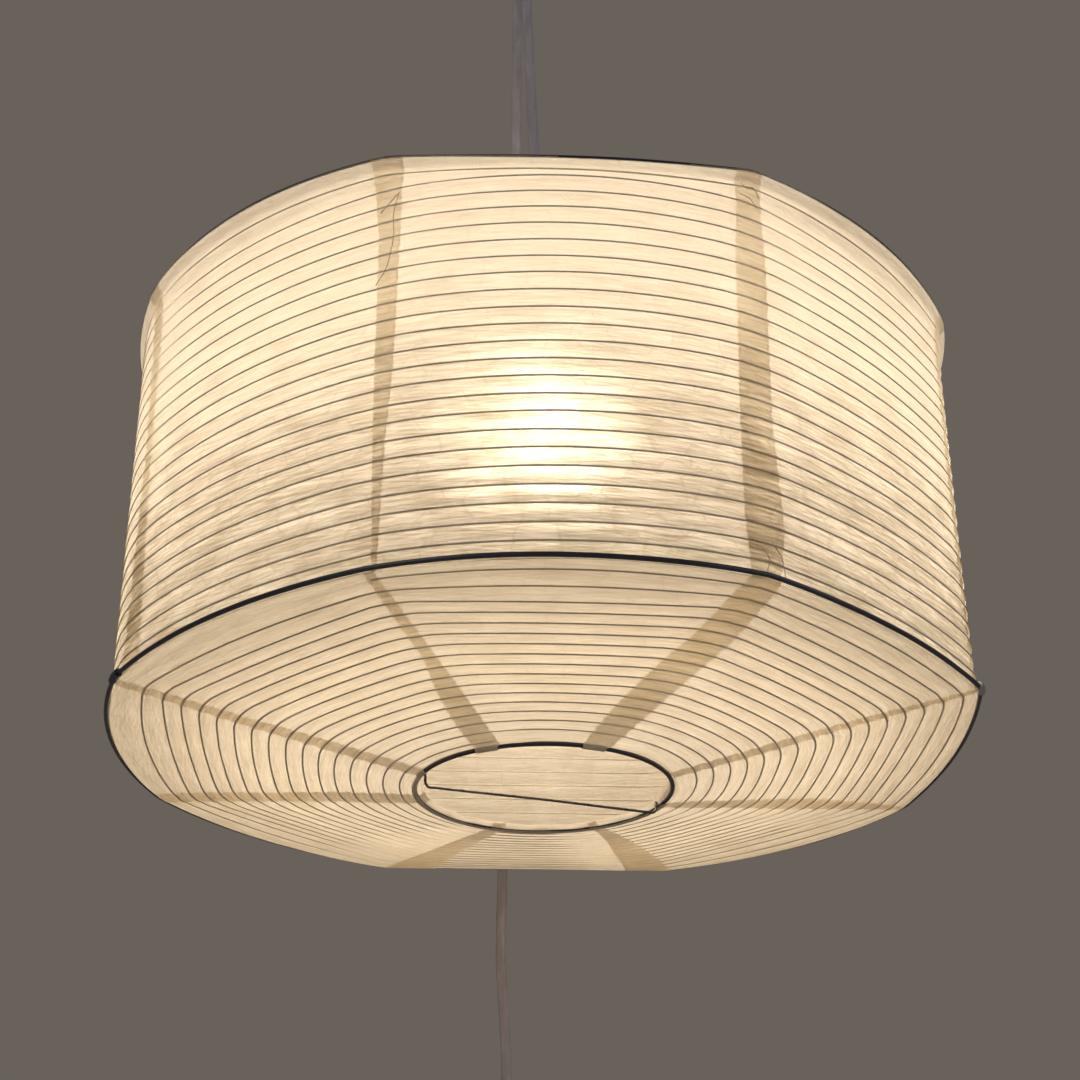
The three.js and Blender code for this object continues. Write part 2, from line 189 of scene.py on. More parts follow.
def fit(piece, body, material, *nodes, slot=None):
    # a finished piece goes on its body, in its material, in place of its plain nodes
    piece.data.materials.clear()
    piece.data.materials.append(material)
    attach(piece, body)
    if nodes:
        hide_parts(*nodes)
    return piece


def settle(piece):
    # its place goes into its mesh
    deselect()
    piece.select_set(True)
    bpy.context.view_layer.objects.active = piece
    bpy.ops.object.transform_apply(location=True, rotation=True, scale=True)


def linear(code):
    parts = [int(code[k : k + 2], 16) / 255 for k in (1, 3, 5)]
    return [v / 12.92 if v <= 0.04045 else ((v + 0.055) / 1.055) ** 2.4 for v in parts] + [1]


def addNode(material, kind, settings=None, links=None):
    nodes = material.node_tree
    node = nodes.nodes.new(kind)
    for name, value in (settings or {}).items():
        if isinstance(name, int) or name in node.inputs:
            node.inputs[name].default_value = value
        else:
            setattr(node, name, value)
    for name, source in (links or {}).items():
        nodes.links.new(source, node.inputs[name])
    return node


def newMaterial(name):
    material = bpy.data.materials.new(name)
    material.use_nodes = True
    material.node_tree.nodes.clear()
    return material


def stops(node, rows):
    # colour stops of a ramp: (place, colour)
    marks = node.color_ramp.elements
    while len(marks) > 1:
        marks.remove(marks[-1])
    marks[0].position, marks[0].color = rows[0]
    for place, colour in rows[1:]:
        marks.new(place).color = colour


def grey(v):
    return (v, v, v, 1)


def mapped(material, value, start, end, low=0, high=1):
    # value from start to end becomes low to high
    settings = {"From Min": start, "From Max": end, "To Min": low, "To Max": high}
    return addNode(material, "ShaderNodeMapRange", settings, {"Value": value}).outputs[0]


def combined(material, operation, a, b):
    return addNode(material, "ShaderNodeMath", {"operation": operation}, {0: a, 1: b}).outputs[0]


def tinted(material, value, colours):
    node = addNode(material, "ShaderNodeValToRGB", links={"Fac": value})
    stops(node, [(0, linear(colours[0])), (1, linear(colours[1]))])
    return node.outputs[0]


# (turn, length, thickness) of the fibres' three layers, then clouds and creases, in metres
paperGrain = {
    "fibres": ((0.02, 0.05, 0.0013), (0.13, 0.06, 0.0011), (-0.09, 0.045, 0.0015)),
    "cloud": 0.022,
    "bend": 0.02,
    "crease": 0.026,
    "overHem": 0.0004,
    "inward": (0.07, 0.16),  # radii between which the ends go from passing less light, a painted shade, to plain
}


def ricePaper(name, back, through, passes, plain=None, hem=None):
    # mulberry paper: long fibres show as faint streaks, and light comes through cream.
    # passes is the share of light let through, plain the two heights between which the streaks grow faint and
    # hem the radius inside which the doubled edge passes half; with hem, a painted shade also dims the paper
    # towards the opening
    g = paperGrain
    material = newMaterial(name)
    place = addNode(material, "ShaderNodeUVMap", {"uv_map": "UVMap"}).outputs[0]
    fibres = []
    for turn, long, thin in g["fibres"]:
        lay = addNode(material, "ShaderNodeMapping", {"Rotation": (0, 0, turn)}, {"Vector": place})
        scale = {"Scale": (1 / long, 1 / thin, 1)}
        stretch = addNode(material, "ShaderNodeMapping", scale, {"Vector": lay.outputs[0]})
        look = {"Scale": 1, "Detail": 4, "Roughness": 0.6, "Distortion": 0.4}
        strand = addNode(material, "ShaderNodeTexNoise", look, {"Vector": stretch.outputs[0]})
        fibres.append(strand.outputs["Fac"])
    pulp = combined(material, "ADD", combined(material, "ADD", fibres[0], fibres[1]), fibres[2])
    look = {"Scale": 1 / g["cloud"], "Detail": 5, "Roughness": 0.62}
    cloud = addNode(material, "ShaderNodeTexNoise", look, {"Vector": place})
    # creases from handling, drawn as thin bent lines that darken the paper's tone: partly the crease's own
    # mark, partly painted shade in the fold
    look = {"Scale": 1 / g["bend"], "Detail": 3}
    bent = addNode(material, "ShaderNodeTexNoise", look, {"Vector": place})
    blend = {"data_type": "RGBA", "blend_type": "LINEAR_LIGHT", 0: 0.012}
    warp = addNode(material, "ShaderNodeMix", blend, {6: place, 7: bent.outputs["Color"]})
    squeeze = addNode(material, "ShaderNodeMapping", {"Scale": (1, 2.4, 1)}, {"Vector": warp.outputs[2]})
    look = {"feature": "DISTANCE_TO_EDGE", "Scale": 1 / g["crease"]}
    crease = addNode(material, "ShaderNodeTexVoronoi", look, {"Vector": squeeze.outputs[0]})
    line = addNode(material, "ShaderNodeValToRGB", links={"Fac": crease.outputs["Distance"]})
    stops(line, [(0, grey(0)), (0.05, grey(1))])
    # density: 0 thick, 1 thin
    thin = mapped(material, pulp, 1.25, 1.7)
    patch = mapped(material, cloud.outputs["Fac"], 0.3, 0.7)
    share = addNode(material, "ShaderNodeMix", {"data_type": "FLOAT", 0: 0.4}, {2: thin, 3: patch})
    lines = mapped(material, line.outputs[0], 0, 1, 0.72, 1)
    tone = combined(material, "MULTIPLY", share.outputs[0], lines)
    across = addNode(material, "ShaderNodeSeparateXYZ", links={"Vector": place}).outputs[1]
    if plain:
        fade = mapped(material, across, *plain, 1, 0.3)
        calm = addNode(material, "ShaderNodeMix", {"data_type": "FLOAT", 2: 0.72}, {0: fade, 3: tone})
        tone = calm.outputs[0]
    relief = combined(material, "ADD", tone, lines)
    bump = addNode(material, "ShaderNodeBump", {"Strength": 0.5, "Distance": 0.0004}, {"Height": relief})
    normal = bump.outputs[0]
    outer = {"Color": tinted(material, tone, back), "Normal": normal}
    inner = {"Color": tinted(material, tone, through), "Normal": normal}
    matt = addNode(material, "ShaderNodeBsdfDiffuse", {"Roughness": 0.9}, outer)
    glow = addNode(material, "ShaderNodeBsdfTranslucent", links=inner)
    # a little of the light goes on through in a soft cone, which shows the lamp's glow
    straight = addNode(material, "ShaderNodeBsdfRefraction", {"Roughness": 0.5, "IOR": 1.3}, inner)
    both = {1: glow.outputs[0], 2: straight.outputs[0]}
    passed = addNode(material, "ShaderNodeMixShader", {0: 0.055}, both)
    # a lap passes more light than the rest of its gore, so two layers look only a little darker
    pasted = addNode(material, "ShaderNodeAttribute", {"attribute_name": "pasted"})
    amount = mapped(material, pasted.outputs["Fac"], 0, 1, passes, 0.9)
    if hem:
        # the ends let less light through towards the opening: painted shade, dimmer towards the opening
        inward = mapped(material, across, *g["inward"], 0.6, 1.02)
        amount = combined(material, "MULTIPLY", amount, inward)
        doubled = {"From Min": hem - g["overHem"], "From Max": hem + g["overHem"], "To Min": 0.5}
        amount = addNode(
            material, "ShaderNodeMapRange", doubled, {"Value": across, "To Max": amount}
        ).outputs[0]
    sheet = {0: amount, 1: matt.outputs[0], 2: passed.outputs[0]}
    whole = addNode(material, "ShaderNodeMixShader", links=sheet)
    addNode(material, "ShaderNodeOutputMaterial", links={"Surface": whole.outputs[0]})
    return material


def surface(name, colours, rough, grain, bump, metal=0, settings=None, stretch=(1, 1, 1)):
    # one shader whose colour and roughness wander between two values over grains of a real size
    material = newMaterial(name)
    place = addNode(material, "ShaderNodeTexCoord").outputs["Object"]
    lay = addNode(material, "ShaderNodeMapping", {"Scale": stretch}, {"Vector": place})
    look = {"Scale": 1 / grain, "Detail": 5, "Roughness": 0.6}
    grains = addNode(material, "ShaderNodeTexNoise", look, {"Vector": lay.outputs[0]}).outputs["Fac"]
    tint = addNode(material, "ShaderNodeValToRGB", links={"Fac": grains})
    stops(tint, [(0.3, linear(colours[0])), (0.7, linear(colours[1]))])
    sheen = mapped(material, grains, 0.3, 0.7, *rough)
    relief = addNode(material, "ShaderNodeBump", {"Strength": 0.6, "Distance": bump}, {"Height": grains})
    own = {"Metallic": metal}
    own.update(settings or {})
    links = {"Base Color": tint.outputs[0], "Roughness": sheen, "Normal": relief.outputs[0]}
    shader = addNode(material, "ShaderNodeBsdfPrincipled", own, links)
    addNode(material, "ShaderNodeOutputMaterial", links={"Surface": shader.outputs[0]})
    return material


wallPaper = ricePaper("mulberryPaperWall", ("#d9d2c5", "#f4efe6"), ("#a3967c", "#fbf6ed"), 0.72, (0.06, 0.15))
endPaper = ricePaper("mulberryPaperEnds", ("#e0d9cc", "#f2ede3"), ("#d2c7b4", "#f2ebde"), 0.64, None, 0.0662)
# the back gores and the top are paler copies of the wall's paper that let less light through: painted
# brightness, lit copies of one paper that keep the inside bright
backPaper = ricePaper("mulberryPaperBack", ("#e6ded0", "#f8f3ea"), ("#b3a78f", "#fbf6ed"), 0.46, (0.06, 0.15))
topPaper = ricePaper("mulberryPaperTop", ("#e6ded0", "#f8f3ea"), ("#c4b69d", "#f5eee0"), 0.46, None, 0.0662)
# spring steel wound with paper tape: pale where the lamp strikes it, grey against the glow
ribSteel = surface("paperTapedRibWire", ("#b5ad9c", "#c8c0ae"), (0.6, 0.8), 0.004, 0.00003)
# steel wire dipped in black lacquer: near black with a cool shine along its top
blackLacquer = surface(
    "blackLacqueredWire", ("#0e0f20", "#1b1e38"), (0.28, 0.5), 0.006, 0.0001, 0, {"Coat Weight": 0.35}
)
# spring steel left bare and oiled: dark, with a bright fleck where the lamp catches it
darkSteel = surface("oiledSpringSteel", ("#4c4a4a", "#6b6866"), (0.22, 0.4), 0.004, 0.00002, 1)
# bright zinc plating: small soft highlights on a cold grey
zincSteel = surface("zincPlatedSteel", ("#a9abae", "#cdd0d3"), (0.22, 0.38), 0.003, 0.00002, 1)
# moulded polycarbonate, slightly glossy with a faint orange peel
holderPlastic = surface("mouldedWhitePlastic", ("#e9e7df", "#f4f2eb"), (0.32, 0.42), 0.0025, 0.00002)
# soft PVC sheath, dull with rubbed streaks; its grey is painted shade, the white cord coloured as dark as it
# looks in the dim room
cordPvc = surface("softPvcSheath", ("#8b8892", "#a29fa8"), (0.42, 0.6), 0.005, 0.00004, stretch=(1, 1, 0.2))
# plug moulding, the same PVC in the same painted-shade grey, but firmer and smoother
plugPvc = surface("firmPvcMoulding", ("#8f8c96", "#a4a1aa"), (0.38, 0.5), 0.003, 0.00003)
# vinyl round a wire tie, softly shining
tieVinyl = surface("vinylTie", ("#c6c5c0", "#dbdad4"), (0.3, 0.45), 0.004, 0.00003)
# nickelled brass: warm grey, brushed along the blade
nickelBrass = surface(
    "nickelledBrass", ("#b9ae95", "#d8cfba"), (0.2, 0.36), 0.002, 0.00001, 1, None, (6, 6, 0.5)
)
# opal blown glass, alight from inside
opalGlass = surface(
    "opalBlownGlass",
    ("#fff3df", "#fffaf0"),
    (0.12, 0.2),
    0.02,
    0.00001,
    0,
    {"Emission Color": linear("#ffe9c4"), "Emission Strength": 9},
)
# rolled brass cap with a dull satin face
capMetal = surface("rolledCapMetal", ("#b7ab8e", "#cfc4a8"), (0.28, 0.45), 0.002, 0.00002, 1)
print("materials made")

# one flat twin lead, from the grip over the hook to the plug
cordShape = {
    "wide": 0.006,
    "thin": 0.0032,
    "route": [
        (11, -12.3, -287.4),
        (10.03, -12.3, -262),
        (8.92, -12.3, -232),
        (7.8, -12.3, -202),
        (6.68, -12.3, -172),
        (5.56, -12.3, -142),
        (4.45, -12.3, -112),
        (3.41, -12.3, -84),
        (2.4, -12.3, -57),
        (2.08, -10.65, -50.75),
        (1.2, -6.15, -46.17),
        (0, 0, -44.5),
        (-1.2, 6.15, -46.17),
        (-2.08, 10.65, -50.75),
        (-2.4, 12.3, -57),
        (-2.9, 18.3, -81.8),
        (-3.6, 33.7, -115),
        (-4.6, 56.5, -154.2),
        (-6.2, 84.5, -197.2),
        (-8.2, 115.8, -241.6),
        (-10.3, 148.3, -285.3),
        (-12.5, 179.9, -325.7),
        (-14.5, 208.5, -360.8),
        (-14.5, 210.8, -364.3),
        (-14.5, 211.95, -367.8),
        (-14.5, 212.3, -371.1),
        (-14.5, 212.3, -405),
        (-14.5, 212.3, -440),
        (-14.6, 212.3, -475),
        (-14.6, 212.3, -510),
        (-14.7, 212.3, -545),
        (-14.8, 212.3, -575),
        (-15.4, 212.3, -605),
        (-15.5, 212.3, -635),
        (-13.9, 212.3, -662),
        (-12.4, 212.3, -688),
    ],
    "coil": (-2.55, 226.3, -761.4),  # centre, its axis along X
    "columns": (-12, -5.7, 0.6, 6.9),
    "layers": (37.4, 34, 30.6),
    "bend": 14,
    "end": -789.4,
    "step": 0.003,
}


def smoothLine(points, spacing):
    # a curve through the points, close to even spacing
    found = []
    count = len(points)
    for k in range(count - 1):
        a, b = points[max(k - 1, 0)], points[k]
        c, d = points[k + 1], points[min(k + 2, count - 1)]
        gaps = [max((q - p).length, 1e-6) ** 0.5 for p, q in ((a, b), (b, c), (c, d))]
        if k == 0:
            a = b - (c - b)
            gaps[0] = gaps[1]
        if k == count - 2:
            d = c + (c - b)
            gaps[2] = gaps[1]
        inward = (b - a) / gaps[0] - (c - a) / (gaps[0] + gaps[1]) + (c - b) / gaps[1]
        outward = (c - b) / gaps[1] - (d - b) / (gaps[1] + gaps[2]) + (d - c) / gaps[2]
        inward, outward = inward * gaps[1], outward * gaps[1]
        steps = max(1, round((c - b).length / spacing))
        for s in range(steps):
            t = s / steps
            t2, t3 = t * t, t * t * t
            found.append(
                b * (2 * t3 - 3 * t2 + 1)
                + inward * (t3 - 2 * t2 + t)
                + c * (3 * t2 - 2 * t3)
                + outward * (t3 - t2)
            )
    found.append(points[-1])
    return found


def cordLine(cord):
    points = [Vector(p) for p in cord["route"]]
    bend = cord["bend"]
    middle = Vector(cord["coil"])
    down = Vector((cord["columns"][0], middle.y - bend, middle.z + cord["layers"][0] + bend))
    points.append(down)
    line = smoothLine(points, cord["step"] * 1000)
    for k in range(1, 8):
        a = math.pi + k * math.pi / 16
        line.append(down + Vector((0, bend + bend * math.cos(a), bend * math.sin(a))))
    # the order in which the turns fill the columns: out to in, then in to out, and so on
    places = []
    for k, column in enumerate(cord["columns"]):
        layers = cord["layers"] if k % 2 == 0 else cord["layers"][::-1]
        places += [(column, layer) for layer in layers]
    perTurn = 96
    turns = len(places)
    for s in range(turns * perTurn + perTurn // 4 + 1):
        turn, part = divmod(s, perTurn)
        column, layer = places[min(turn, turns - 1)]
        if turn < turns - 1:
            # each turn moves over to the next place a little earlier than the one before it does
            across, outward = places[turn + 1]
            wide = 46 if across != column else 24
            start = 84 + (turns - 2 - turn) * 22
            t = smooth((part / perTurn * 360 - start) / wide)
            column, layer = mix(column, across, t), mix(layer, outward, t)
        a = math.pi / 2 - 2 * math.pi * s / perTurn
        line.append(Vector((column, middle.y + layer * math.cos(a), middle.z + layer * math.sin(a))))
    last = line[-1]
    for k in range(1, 22):
        line.append(Vector((last.x, last.y, mix(last.z, cord["end"], k / 21))))
    return [p * 0.001 for p in line]


def sweepCord(name, line, wide, thin):
    # two round cores side by side under one sheath, the wide way kept along X
    outline = []
    faces = 16
    for k in range(faces):
        a = 2 * math.pi * k / faces
        waist = 1 - 0.2 * abs(math.sin(a)) ** 8
        core = 1 if math.cos(a) >= 0 else -1
        u = core * (wide - thin) / 2 + math.cos(a) * thin / 2
        if abs(math.cos(a)) < 1e-6:
            u = 0
        outline.append((u, math.sin(a) * thin / 2 * waist))
    vertices, sides = [], []
    for k, p in enumerate(line):
        before, after = line[max(k - 1, 0)], line[min(k + 1, len(line) - 1)]
        along = (after - before).normalized()
        flat = Vector((1, 0, 0)) - along * along.x
        flat.normalize()
        other = along.cross(flat)
        vertices += [p + flat * u + other * v for u, v in outline]
    for k in range(len(line) - 1):
        for j in range(faces):
            a, b = k * faces + j, k * faces + (j + 1) % faces
            sides.append((a, b, b + faces, a + faces))
    sides.append(tuple(range(faces))[::-1])
    sides.append(tuple(range(len(vertices) - faces, len(vertices))))
    mesh = bpy.data.meshes.new(name)
    mesh.from_pydata(vertices, [], sides)
    mesh.update()
    cord = bpy.data.objects.new(name, mesh)
    bpy.context.collection.objects.link(cord)
    deselect()
    cord.select_set(True)
    bpy.context.view_layer.objects.active = cord
    bpy.ops.object.mode_set(mode="EDIT")
    bpy.ops.mesh.select_all(action="SELECT")
    bpy.ops.mesh.normals_make_consistent(inside=False)
    bpy.ops.object.mode_set(mode="OBJECT")
    bpy.ops.object.shade_smooth_by_angle(angle=math.radians(50))
    return cord


leadLine = cordLine(cordShape)
leadLength = sum((b - a).length for a, b in zip(leadLine, leadLine[1:]))
lead = sweepCord("flatTwinLead", leadLine, cordShape["wide"], cordShape["thin"])
fit(lead, "hanging_frame", cordPvc, "supply_cord", "cord_coil", "cord_end", slot="cord_plastic")
print("cord made,", round(leadLength, 3), "m")

# eight gores of paper to the wall and eight to each end, each lapping over its neighbour
wallSheets = {
    "columns": 44,
    "rows": 6,  # between two hoops
    "dip": 0.0009,  # how far a band sinks between its hoops
    "lap": 0.00035,
    "crumple": 0.00028,
    # (share of the height, where the lap starts, where it ends), in sides from the corner
    "laps": [
        [
            (0, 0.012, 0.026), (0.3, -0.005, 0.03), (0.46, -0.011, 0.041),
            (0.8, -0.02, 0.043), (1, -0.047, 0.041),
        ],
        [
            (0, -0.041, 0.045), (0.13, -0.055, 0.068), (0.37, -0.057, 0.045),
            (0.76, -0.051, 0.047), (1, -0.041, 0.033),
        ],
        [(0, -0.03, 0.05), (0.5, -0.045, 0.03), (1, -0.04, 0.05)],
        [(0, -0.05, 0.04), (0.4, -0.03, 0.06), (1, -0.05, 0.03)],
        [(0, -0.04, 0.04), (0.6, -0.055, 0.04), (1, -0.03, 0.05)],
        [(0, -0.055, 0.03), (0.5, -0.04, 0.055), (1, -0.05, 0.04)],
        [(0, -0.03, 0.06), (0.5, -0.05, 0.035), (1, -0.045, 0.05)],
        [(0, 0.02, 0.133), (0.05, 0.02, 0.13), (0.55, 0.03, 0.075), (1, -0.02, 0.06)],
    ],
}

endSheets = {
    "columns": 40,
    "rows": 5,  # between two turns of the rib
    "dip": 0.0006,
    "lap": 0.00035,
    "crumple": 0.00022,
    # (share of the way in, where the lap starts, where it ends)
    "laps": [
        [(0, -0.008, 0.02), (0.45, -0.03, 0.025), (1, -0.22, 0.037)],
        [(0, -0.05, 0.045), (0.3, -0.062, 0.085), (1, -0.2, 0.072)],
        [(0, -0.02, 0.004), (0.4, -0.04, 0.02), (1, -0.03, 0.12)],
        [(0, -0.006, 0.02), (0.45, -0.124, 0.03), (1, -0.162, 0.004)],
        [(0, -0.013, 0.137), (0.5, -0.08, 0.08), (1, -0.162, -0.06)],
        [(0, -0.166, 0.003), (0.5, -0.143, -0.006), (1, -0.141, 0.006)],
        [(0, -0.03, 0.05), (0.5, -0.004, 0.129), (1, 0.042, 0.296)],
        [(0, -0.04, 0.006), (0.42, -0.08, 0.002), (1, -0.14, 0.05)],
    ],
    # past the hem: (millimetres in from the wire's own circle, millimetres into the lantern)
    "overWire": [
        (-1.5, 0.9), (-0.9, 1.5), (0, 1.65), (0.9, 1.6),
        (1.5, 2.1), (1.6, 3.6), (1.55, 5.2), (1.5, 6.6),
    ],
    "closeWire": [
        (-1.6, -0.8), (-1, -1.5), (0, -1.7), (0.7, -1.3),
        (1.1, -0.3), (2, 0.5), (3.2, 1.2), (4.4, 1.9),
    ],
    "underWire": [
        (-1.6, -0.8), (-1, -1.5), (0, -1.75), (1, -1.5),
        (1.7, -0.3), (1.75, 2), (1.7, 4.2), (1.6, 6.2),
    ],
}


def lapAt(rows, share):
    starts = [(row[0], row[1]) for row in rows]
    ends = [(row[0], row[2]) for row in rows]
    return ramp(share, starts), ramp(share, ends)


def crumple(p, size):
    # shallow wrinkles, long across and short up and down, the same for every layer of paper
    wide = noise.noise(Vector((p.x * 38, p.y * 38, p.z * 150)))
    fine = noise.noise(Vector((p.x * 110 + 7, p.y * 110, p.z * 330)))
    return size * (wide + 0.5 * fine)


lapColumns = 6


def overLap(i, columns, start, lapEnd, finish):
    # the first columns of a gore cover its lap over the one before
    if i <= lapColumns:
        return mix(start, lapEnd, i / lapColumns)
    return mix(lapEnd, finish, (i - lapColumns) / (columns - lapColumns))


def layPaper(name, columns, rows, place, across):
    # a grid of paper whose points are then moved to their places; its UV is in metres
    deselect()
    bpy.ops.mesh.primitive_grid_add(x_subdivisions=columns, y_subdivisions=rows, size=1)
    paper = bpy.context.object
    paper.name = name
    wide = columns + 1
    spots = [place(k % wide, k // wide) for k in range(len(paper.data.vertices))]
    for vertex, spot in zip(paper.data.vertices, spots):
        vertex.co = spot
    flat = [across(k % wide, k // wide) for k in range(len(spots))]
    layer = paper.data.uv_layers[0]
    layer.name = "UVMap"
    for loop in paper.data.loops:
        layer.data[loop.index].uv = flat[loop.vertex_index]
    pasted = paper.data.attributes.new("pasted", "FLOAT", "POINT")
    for k, spot in enumerate(pasted.data):
        spot.value = 1 if k % wide < lapColumns else 0
    bpy.ops.object.shade_smooth()
    return paper


sideLength = 2 * shade["corner"] * math.sin(math.pi / 8)


def wallGore(side):
    w = wallSheets
    bands = shade["hoops"] + 1
    rows = bands * w["rows"]

    def spread(i, j):
        share = j / rows
        start, lapEnd = lapAt(w["laps"][side], share)
        finish = 1 + lapAt(w["laps"][(side + 1) % 8], share)[1]
        ragged = 0.0016 * noise.noise(Vector((share * 30, side * 5.3, 0)))
        frayed = 0.0016 * noise.noise(Vector((share * 30, side * 5.3, 9)))
        return share, overLap(i, w["columns"], start + ragged, lapEnd, finish + frayed)

    def place(i, j):
        share, along = spread(i, j)
        z = mix(shade["bottom"] + 0.0003, shade["top"] - 0.0006, share)
        lift = w["lap"] * (1 - smooth((along - 0.12) / 0.2))
        sunk = w["dip"] * math.sin(math.pi * ((share * bands) % 1))
        radius = shade["paper"] + lift - sunk
        # the top edge is drawn out to the rim wire's outer side
        past = max(0, (share * rows - rows + 4) / 4)
        radius += ramp(past, [(0, 0), (0.25, 0.0009), (0.5, 0.0022), (0.75, 0.00295), (1, 0.00285)])
        p = wallPoint(side + along, share, radius, z)
        free = min(1, 6 * share, 10 * (1 - share)) * (1.35 - 0.7 * share)
        away = Vector((p.x - shade["axis"].x, p.y - shade["axis"].y, 0)).normalized()
        near = math.sin(math.pi * ((share * bands) % 1))
        return p + away * crumple(p, w["crumple"] * near) * free

    def across(i, j):
        share, along = spread(i, j)
        return ((side * 1.03 + along) * sideLength, share * height)

    # the three back gores take the paler copy, painted brightness for the inside seen through the opening
    material = backPaper if side in (3, 4, 5) else wallPaper
    paper = layPaper("wallGore" + str(side + 1), w["columns"], rows, place, across)
    fit(paper, "hanging_frame", material, "wall_paper_" + str(side + 1), slot="paper")
    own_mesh(paper)


def endGore(end, side):
    e = endSheets
    turns = shade["faceTurns"] + 1
    rows = turns * e["rows"]
    folds = len(e["overWire"])

    def spread(i, j):
        share = min(j / rows, 1)
        start, lapEnd = lapAt(e["laps"][side], share)
        finish = 1 + lapAt(e["laps"][(side + 1) % 8], share)[1]
        ragged = 0.002 * noise.noise(Vector((share * 20, side * 3.7, end["out"] * 4)))
        return share, overLap(i, e["columns"], start + ragged, lapEnd, finish + ragged)

    def place(i, j):
        share, along = spread(i, j)
        lift = e["lap"] * (1 - smooth((along - 0.16) / 0.25)) * -1
        if j <= rows:
            part = (share * turns - 0.5 - (side + along) / 8) % 1
            sunk = e["dip"] * math.sin(math.pi * part)
            free = min(1, 8 * share, 12 * (1 - share))
            p = facePoint(end, side + along, share, lift + sunk)
            wander = noise.noise(Vector((p.x * 60, p.y * 60, 3))) + 0.5 * noise.noise(
                Vector((p.x * 170, p.y * 170, 5))
            )
            p.z -= end["out"] * e["crumple"] * wander * free * math.sin(math.pi * part)
            return p
        k = j - rows - 1
        lapEnd = e["laps"][side][-1][2]
        hem = "overWire"
        if end["out"] < 0 and side in (3, 4, 5, 6):
            hem = "closeWire"
        elif end["out"] < 0 and side in (0, 1) and along < lapEnd - 0.01:
            hem = "underWire"
        inward, into = e[hem][k]
        if k >= 5:
            into += 0.9 * noise.noise(Vector((along * 5, side * 2.1, k * 0.1)))
        radius = shade["opening"] - inward * 0.001 - lift * 0.4
        z = end["plane"] + end["out"] * (shade["rise"] - into * 0.001)
        return around(side + along, radius, z, end["turn"])

    def across(i, j):
        share, along = spread(i, j)
        deep = mix(shade["paper"], shade["opening"], share) - 0.001 * max(j - rows, 0)
        return (side * 0.21 + (along - 0.5) * math.pi / 4 * deep, deep)

    name = end["name"] + "Gore" + str(side + 1)
    # the top end takes its paler copy, painted brightness for the inside seen through the opening
    material = endPaper if end["out"] < 0 else topPaper
    paper = layPaper(name, e["columns"], rows + folds, place, across)
    node = end["name"] + "_paper"
    fit(paper, "lower_face" if end["out"] < 0 else "hanging_frame", material, node, slot="paper")


for side in range(8):
    wallGore(side)
print("wall gores laid")
for end in (lowEnd, highEnd):
    for side in range(8):
        endGore(end, side)
print("end gores laid")

wires = {
    "rim": 0.0024,
    "opening": 0.0024,
    "rib": 0.00095,
    "sunk": 0.0002,  # a rib's middle inside the paper's outer face
    "stations": 160,
    "topInset": 0.0005,  # the rims' middles inside their planes
    "bottomInset": 0.0017,
}


def addHoops():
    radius = shade["paper"] - wires["sunk"]
    for k in range(1, shade["hoops"] + 1):
        share = 1 - k / (shade["hoops"] + 1)
        z = mix(shade["bottom"], shade["top"], share)
        points = []
        for s in range(wires["stations"]):
            side = 8 * s / wires["stations"]
            sag = 0.0005 * noise.noise(Vector((side * 0.9, k * 3.1, 0)))
            points.append(wallPoint(side, share, radius, z + sag))
        number = str(k).zfill(2)
        hoop = bendWire("ribHoop" + number, points, wires["rib"], True)
        fit(hoop, "hoop_" + number, ribSteel, "wall_hoop_" + number, slot="rib_wire")


def addSpirals():
    for end in (lowEnd, highEnd):
        points = []
        turns = shade["faceTurns"]
        lift = wires["sunk"]
        for s in range(turns * 128 + 1):
            t = s / (turns * 128)
            share = (0.5 + t * turns) / (turns + 1)
            points.append(facePoint(end, t * turns * 8, share, lift))
        wire = bendWire(end["name"] + "Spiral", points, wires["rib"])
        body = "lower_face" if end["out"] < 0 else "hanging_frame"
        fit(wire, body, ribSteel, end["name"] + "_rib_spiral", slot="rib_wire")


def addRims():
    for end in (lowEnd, highEnd):
        share = 0 if end["out"] < 0 else 1
        body = "lower_face" if end["out"] < 0 else "hanging_frame"
        z = end["plane"] - end["out"] * wires["topInset" if end["out"] > 0 else "bottomInset"]
        points = []
        for s in range(256):
            side = 8 * s / 256
            bent = 0.00025 * noise.noise(Vector((side * 2.3, 4, end["out"])))
            points.append(wallPoint(side, share, shade["corner"] + bent, z + bent, 0.012))
        rim = bendWire(end["name"] + "Rim", points, wires["rim"], True, 12)
        fit(rim, body, blackLacquer, end["name"] + "_ring", slot="black_wire")
        z = end["plane"] + end["out"] * shade["rise"]
        points = []
        for s in range(128):
            bent = 0.00015 * noise.noise(Vector((s / 9, 8, end["out"])))
            points.append(around(s / 16, shade["opening"] + bent, z, end["turn"]))
        opening = bendWire(end["name"] + "OpeningRim", points, wires["opening"], True, 12)
        fit(opening, body, blackLacquer, end["name"] + "_opening_ring", slot="black_wire")


addHoops()
addSpirals()
addRims()
print("wires bent")


